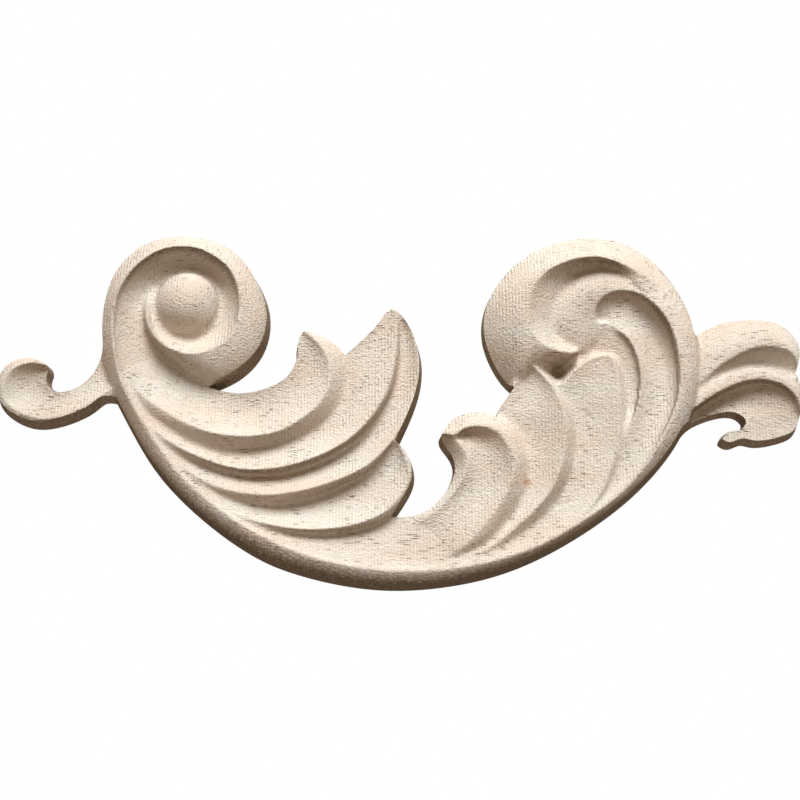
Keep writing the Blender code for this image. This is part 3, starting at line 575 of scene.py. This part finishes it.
# It stays within the solid's box, and is smooth but for the edges where front, side walls and back meet.
# A face belongs to the back or to a wall by how far its normal points backward.
BACK_FROM = 0.9
WALL_UNDER = 0.13  # the walls lean by 5 degrees, whose sine is 0.09
places = np.empty(3 * len(whole.vertices), np.float32)
whole.vertices.foreach_get("co", places)
whole.vertices.foreach_set("co", np.clip(places.reshape(-1, 3), *cad_box).ravel())
whole.update()
whole.shade_smooth()
normals = np.empty(3 * len(whole.polygons), np.float32)
whole.polygons.foreach_get("normal", normals)
backward = normals.reshape(-1, 3)[:, 1]
kinds = np.where(backward > BACK_FROM, 2, np.abs(backward) < WALL_UNDER)
sides = np.empty(len(whole.polygons), np.int32)
whole.polygons.foreach_get("loop_total", sides)
edges = np.empty(len(whole.loops), np.int32)
whole.loops.foreach_get("edge_index", edges)
met = np.repeat(kinds, sides)[np.argsort(edges, kind="stable")].reshape(-1, 2)
whole.edges.foreach_set("use_edge_sharp", met[:, 0] != met[:, 1])


def linear(colour):
    """The linear value of an sRGB hex colour, by the standard's curve, with alpha 1."""
    parts = np.array([int(colour[i:i + 2], 16) for i in (0, 2, 4)]) / 255
    parts = np.where(parts <= 0.04045, parts / 12.92, ((parts + 0.055) / 1.055) ** 2.4)
    return (*parts, 1)


def node(kind, inputs=None, **settings):
    """Adds a node to the tree in hand and gives its outputs. An input is an output to link or a constant."""
    made = tree.nodes.new(kind)
    for key, value in settings.items():
        setattr(made, key, value)
    for key, value in (inputs or {}).items():
        if isinstance(value, bpy.types.NodeSocket):
            tree.links.new(value, made.inputs[key])
        else:
            made.inputs[key].default_value = value
    return made.outputs


# Bare rubberwood, planed, carved and not finished, so it is dull. It is cream with a little pink, its
# grain along x. Its vessels are cut open as short dark dashes, hair cracks follow the grain and the cutter
# left its fibres raised. The side walls are browner, partly their own rougher grain and partly painted
# shade, and a band along the lower edge, darkest to the left, is painted shade.
CREAM = "f1eadf"
PINK = "eeddcd"
STREAK = "d8c3a8"
SHADE = "cdbaa2"  # between raised fibres
# the side walls' own browner grain, darkened further as painted shade
WALL_TINT_AND_SHADE = "ab9880"
# painted shade: a dark band along the lower edge, stronger to the left
EDGE_SHADE = "83705b"
CRACK = "8c7358"
PORE = "6b523b"
MARK = "b98243"  # a small orange-brown mark on the fifth leaf
PORE_SIZE = 0.21  # a pore's half length and half thickness, in cells
CRACK_SIZE = 0.20
TORN = 0.09  # what torn grain adds to a crack
PORE_DEPTH = 0.00012
HATCH_HEIGHT = 0.000055  # of the cutter's lines
FIBRE_HEIGHT = 0.00050
# Each pattern's cell in metres, along the grain and square to it. Real fibres are far thinner than a
# pixel, so they are drawn as tufts, thick and high enough to show.
CELLS = {
    "tone": (0.045, 0.009), "streaks": (0.014, 0.0011), "fibres": (0.00095, 0.00046),
    "patches": (0.008, 0.006), "pore_distance": (0.0050, 0.00056), "crack_distance": (0.0125, 0.0008)}
SPOTS = {  # places on the drawing with their heights, and the radius at which each fades out
    "mark": ((528, 482, 7), 0.0017), "torn_crest": ((645, 281, 11), 0.009),
    "torn_roll": ((682, 336, 10), 0.004), "torn_left": ((126, 375, 10), 0.006)}
EDGE_MIDDLE = (0.0013, -0.006, 0.0757)  # the lower edge is an arc of 82 mm radius round this
SHADE_BAND_FROM = 0.0778  # the distance from there at which the painted shade starts, and at which it is full
SHADE_BAND_FULLY = 0.0822

wood = bpy.data.materials.new("bare_wood")
wood.use_nodes = True
tree = wood.node_tree
tree.nodes.clear()
place = node("ShaderNodeTexCoord")["Object"]
split = node("ShaderNodeSeparateXYZ", {"Vector": place})
facing = node("ShaderNodeSeparateXYZ", {"Vector": node("ShaderNodeNewGeometry")["True Normal"]})
look = {"x": split["X"], "z": split["Z"], "backward": facing["Y"]}
for name, kind, settings in (
        ("tone", "Noise", {"Detail": 2}), ("streaks", "Noise", {"Detail": 3}),
        ("fibres", "Noise", {"Detail": 3, "Roughness": 0.6}), ("patches", "Noise", {"Detail": 1}),
        ("pore_distance", "Voronoi", {}), ("crack_distance", "Voronoi", {})):
    along, square = CELLS[name]
    scale = (1 / along, 1 / square, 1 / square)
    stretched = node("ShaderNodeMapping", {"Vector": place, "Scale": scale})["Vector"]
    pattern = node("ShaderNodeTex" + kind, {"Vector": stretched, "Scale": 1, **settings})
    look[name] = pattern["Fac" if kind == "Noise" else "Distance"]
for name, (spot, radius) in SPOTS.items():
    away = node("ShaderNodeVectorMath", {0: place, 1: placed(spot)}, operation="DISTANCE")["Value"]
    span = {"Value": away, "From Min": radius, "From Max": 0.2 * radius}
    look[name] = node("ShaderNodeMapRange", span, interpolation_type="SMOOTHSTEP")["Result"]
away = node("ShaderNodeVectorMath", {0: place, 1: EDGE_MIDDLE}, operation="DISTANCE")
look["from_middle"] = away["Value"]

# Each row works out one value. Some do a sum with one or two terms. A smooth step takes the value from the
# third number to the fourth while the term goes from the first to the second.
for name, operation, term, *rest in (
        ("pore_size", "SMOOTHSTEP", "patches", 0.3, 0.7, 0.6 * PORE_SIZE, 1.15 * PORE_SIZE),
        ("in_pore", "SUBTRACT", "pore_distance", "pore_size"),
        ("pores", "SMOOTHSTEP", "in_pore", 0, -0.08, 0, 1),
        ("torn", "MAXIMUM", "torn_roll", "torn_left"),
        ("torn", "MAXIMUM", "torn", "torn_crest"),
        ("torn", "MULTIPLY", "torn", TORN),
        ("crack_size", "SMOOTHSTEP", "patches", 0.38, 0.6, 0.02, CRACK_SIZE),
        ("crack_size", "ADD", "crack_size", "torn"),
        ("in_crack", "SUBTRACT", "crack_distance", "crack_size"),
        ("cracks", "SMOOTHSTEP", "in_crack", 0, -0.05, 0, 1),
        ("facing", "ABSOLUTE", "backward", 0),
        ("upright", "SMOOTHSTEP", "facing", 0.6, 0.15, 0, 1),
        # A band of painted shade along the lower edge, stronger to the left
        ("outer", "SMOOTHSTEP", "from_middle", SHADE_BAND_FROM, SHADE_BAND_FULLY, 0, 1),
        ("low", "SMOOTHSTEP", "z", 0.042, 0.022, 0, 1),
        ("left", "SMOOTHSTEP", "x", 0.07, 0.025, 0.3, 1),
        ("shade_band", "MULTIPLY", "outer", "low"),
        ("shade_band", "MULTIPLY", "shade_band", "left"),
        ("pinker", "SMOOTHSTEP", "tone", 0.35, 0.68, 0, 1),
        ("streaky", "SMOOTHSTEP", "streaks", 0.5, 0.85, 0, 0.4),
        ("shaded", "SMOOTHSTEP", "fibres", 0.3, 0.7, 0.4, 0),
        # Painted shade on the side walls, over their browner grain
        ("in_wall", "SMOOTHSTEP", "fibres", 0.62, 0.45, 0.4, 1),
        ("wall_tint_and_shade", "MULTIPLY", "upright", "in_wall"),
        ("shade_band_fibres", "SMOOTHSTEP", "fibres", 0.65, 0.45, 0.55, 0.95),
        ("painted_edge_shade", "MULTIPLY", "shade_band", "shade_band_fibres"),
        ("cracked", "MULTIPLY", "cracks", 0.6),
        ("pored", "MULTIPLY", "pores", 0.85),
        ("marked", "MULTIPLY", "mark", 0.85),
        ("wander", "SUBTRACT", "fibres", 0.5),
        ("wander", "MULTIPLY", "wander", 0.6 * PASS),
        ("hatch", "ADD", "x", "wander"),
        ("hatch", "MULTIPLY", "hatch", 2 * math.pi / PASS),
        ("hatch", "COSINE", "hatch", 0),
        ("hatch_height", "SMOOTHSTEP", "patches", 0.25, 0.75, -0.2 * HATCH_HEIGHT, -HATCH_HEIGHT),
        ("relief", "MULTIPLY", "hatch", "hatch_height"),
        ("rough", "ADD", "upright", 1),
        ("rough", "MULTIPLY", "rough", FIBRE_HEIGHT),
        ("rough", "MULTIPLY", "rough", "fibres"),
        ("relief", "ADD", "relief", "rough"),
        ("dents", "MAXIMUM", "pores", "cracks"),
        ("dents", "MULTIPLY", "dents", PORE_DEPTH),
        ("relief", "SUBTRACT", "relief", "dents")):
    if operation == "SMOOTHSTEP":
        span = dict(zip(("From Min", "From Max", "To Min", "To Max"), rest))
        worked_out = node("ShaderNodeMapRange", {"Value": look[term], **span}, interpolation_type=operation)
    else:
        second = look.get(rest[0], rest[0])
        worked_out = node("ShaderNodeMath", {0: look[term], 1: second}, operation=operation)
    look[name] = worked_out[0]

colour = linear(CREAM)
for factor, tint in (("pinker", PINK), ("streaky", STREAK), ("shaded", SHADE), ("wall_tint_and_shade", WALL_TINT_AND_SHADE),
                     ("painted_edge_shade", EDGE_SHADE), ("cracked", CRACK), ("pored", PORE), ("marked", MARK)):
    colour = node("ShaderNodeMix", {0: look[factor], 6: colour, 7: linear(tint)}, data_type="RGBA")[2]
bump = node("ShaderNodeBump", {"Height": look["relief"], "Distance": 1, "Strength": 1})["Normal"]
skin = node("ShaderNodeBsdfPrincipled", {"Base Color": colour, "Normal": bump, "Roughness": 0.75})["BSDF"]
node("ShaderNodeOutputMaterial", {"Surface": skin})
whole.materials.clear()
whole.materials.append(wood)

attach(carving, "root")
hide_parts("scroll_applique")

# Floor, light and camera
# A plain pale floor lies well below the carving. The background is white to the camera, and lights the
# wood softly and warmly, more from above than from below. One wide lamp stands above and in front, and
# the camera looks up from 13 degrees below with a long lens.
FLOOR_SIDE = 1.6
FLOOR_DEPTH = 0.5
corners = np.array([(-1, -1, 0), (1, -1, 0), (1, 1, 0), (-1, 1, 0)]) * FLOOR_SIDE / 2 - [0, 0, FLOOR_DEPTH]
floor = new_object("floor", corners, [(0, 1, 2, 3)])
pale = bpy.data.materials.new("pale_floor")
pale.use_nodes = True
tree = pale.node_tree
tree.nodes.clear()
board = node("ShaderNodeBsdfPrincipled", {"Base Color": linear("e4e6ea"), "Roughness": 0.8})["BSDF"]
node("ShaderNodeOutputMaterial", {"Surface": board})
floor.data.materials.append(pale)

bpy.context.scene.view_settings.view_transform = "Standard"
world = bpy.data.worlds.new("world")
world.use_nodes = True
tree = world.node_tree
tree.nodes.clear()
upwards = node("ShaderNodeSeparateXYZ", {"Vector": node("ShaderNodeTexCoord")["Generated"]})["Z"]
span = {"Value": upwards, "From Min": -0.3, "From Max": 1, "To Min": 0.06, "To Max": 0.54}
strength = node("ShaderNodeMapRange", span)["Result"]
soft = node("ShaderNodeBackground", {"Strength": strength, "Color": (1, 0.74, 0.52, 1)})[0]
white = node("ShaderNodeBackground", {"Strength": 1, "Color": (1, 1, 1, 1)})[0]
seen = node("ShaderNodeMixShader", {0: node("ShaderNodeLightPath")["Is Camera Ray"], 1: soft, 2: white})[0]
node("ShaderNodeOutputWorld", {"Surface": seen})
bpy.context.scene.world = world

key = bpy.data.lights.new("key", "AREA")
key.shape = "RECTANGLE"
key.size, key.size_y = 0.45, 0.35
key.energy = 0.82
key.color = (0.96, 1, 1.03)
key.spread = math.radians(50)
key_light = bpy.data.objects.new("key", key)
key_light.location = (0.06, -0.48, 0.58)
key_light.rotation_euler = (Vector((0, 0, 0.04)) - key_light.location).to_track_quat("-Z", "Y").to_euler()
bpy.context.scene.collection.objects.link(key_light)

lens = bpy.data.cameras.new("camera")
lens.sensor_width = 36
lens.lens = lens.sensor_width * VIEW_PIXELS / 800  # the picture is 800 pixels wide
lens.clip_start = 0.01
camera = bpy.data.objects.new("camera", lens)
camera.location = EYE
camera.rotation_euler = (math.radians(90) + VIEW_TILT, 0, 0)
bpy.context.scene.collection.objects.link(camera)
bpy.context.scene.camera = camera
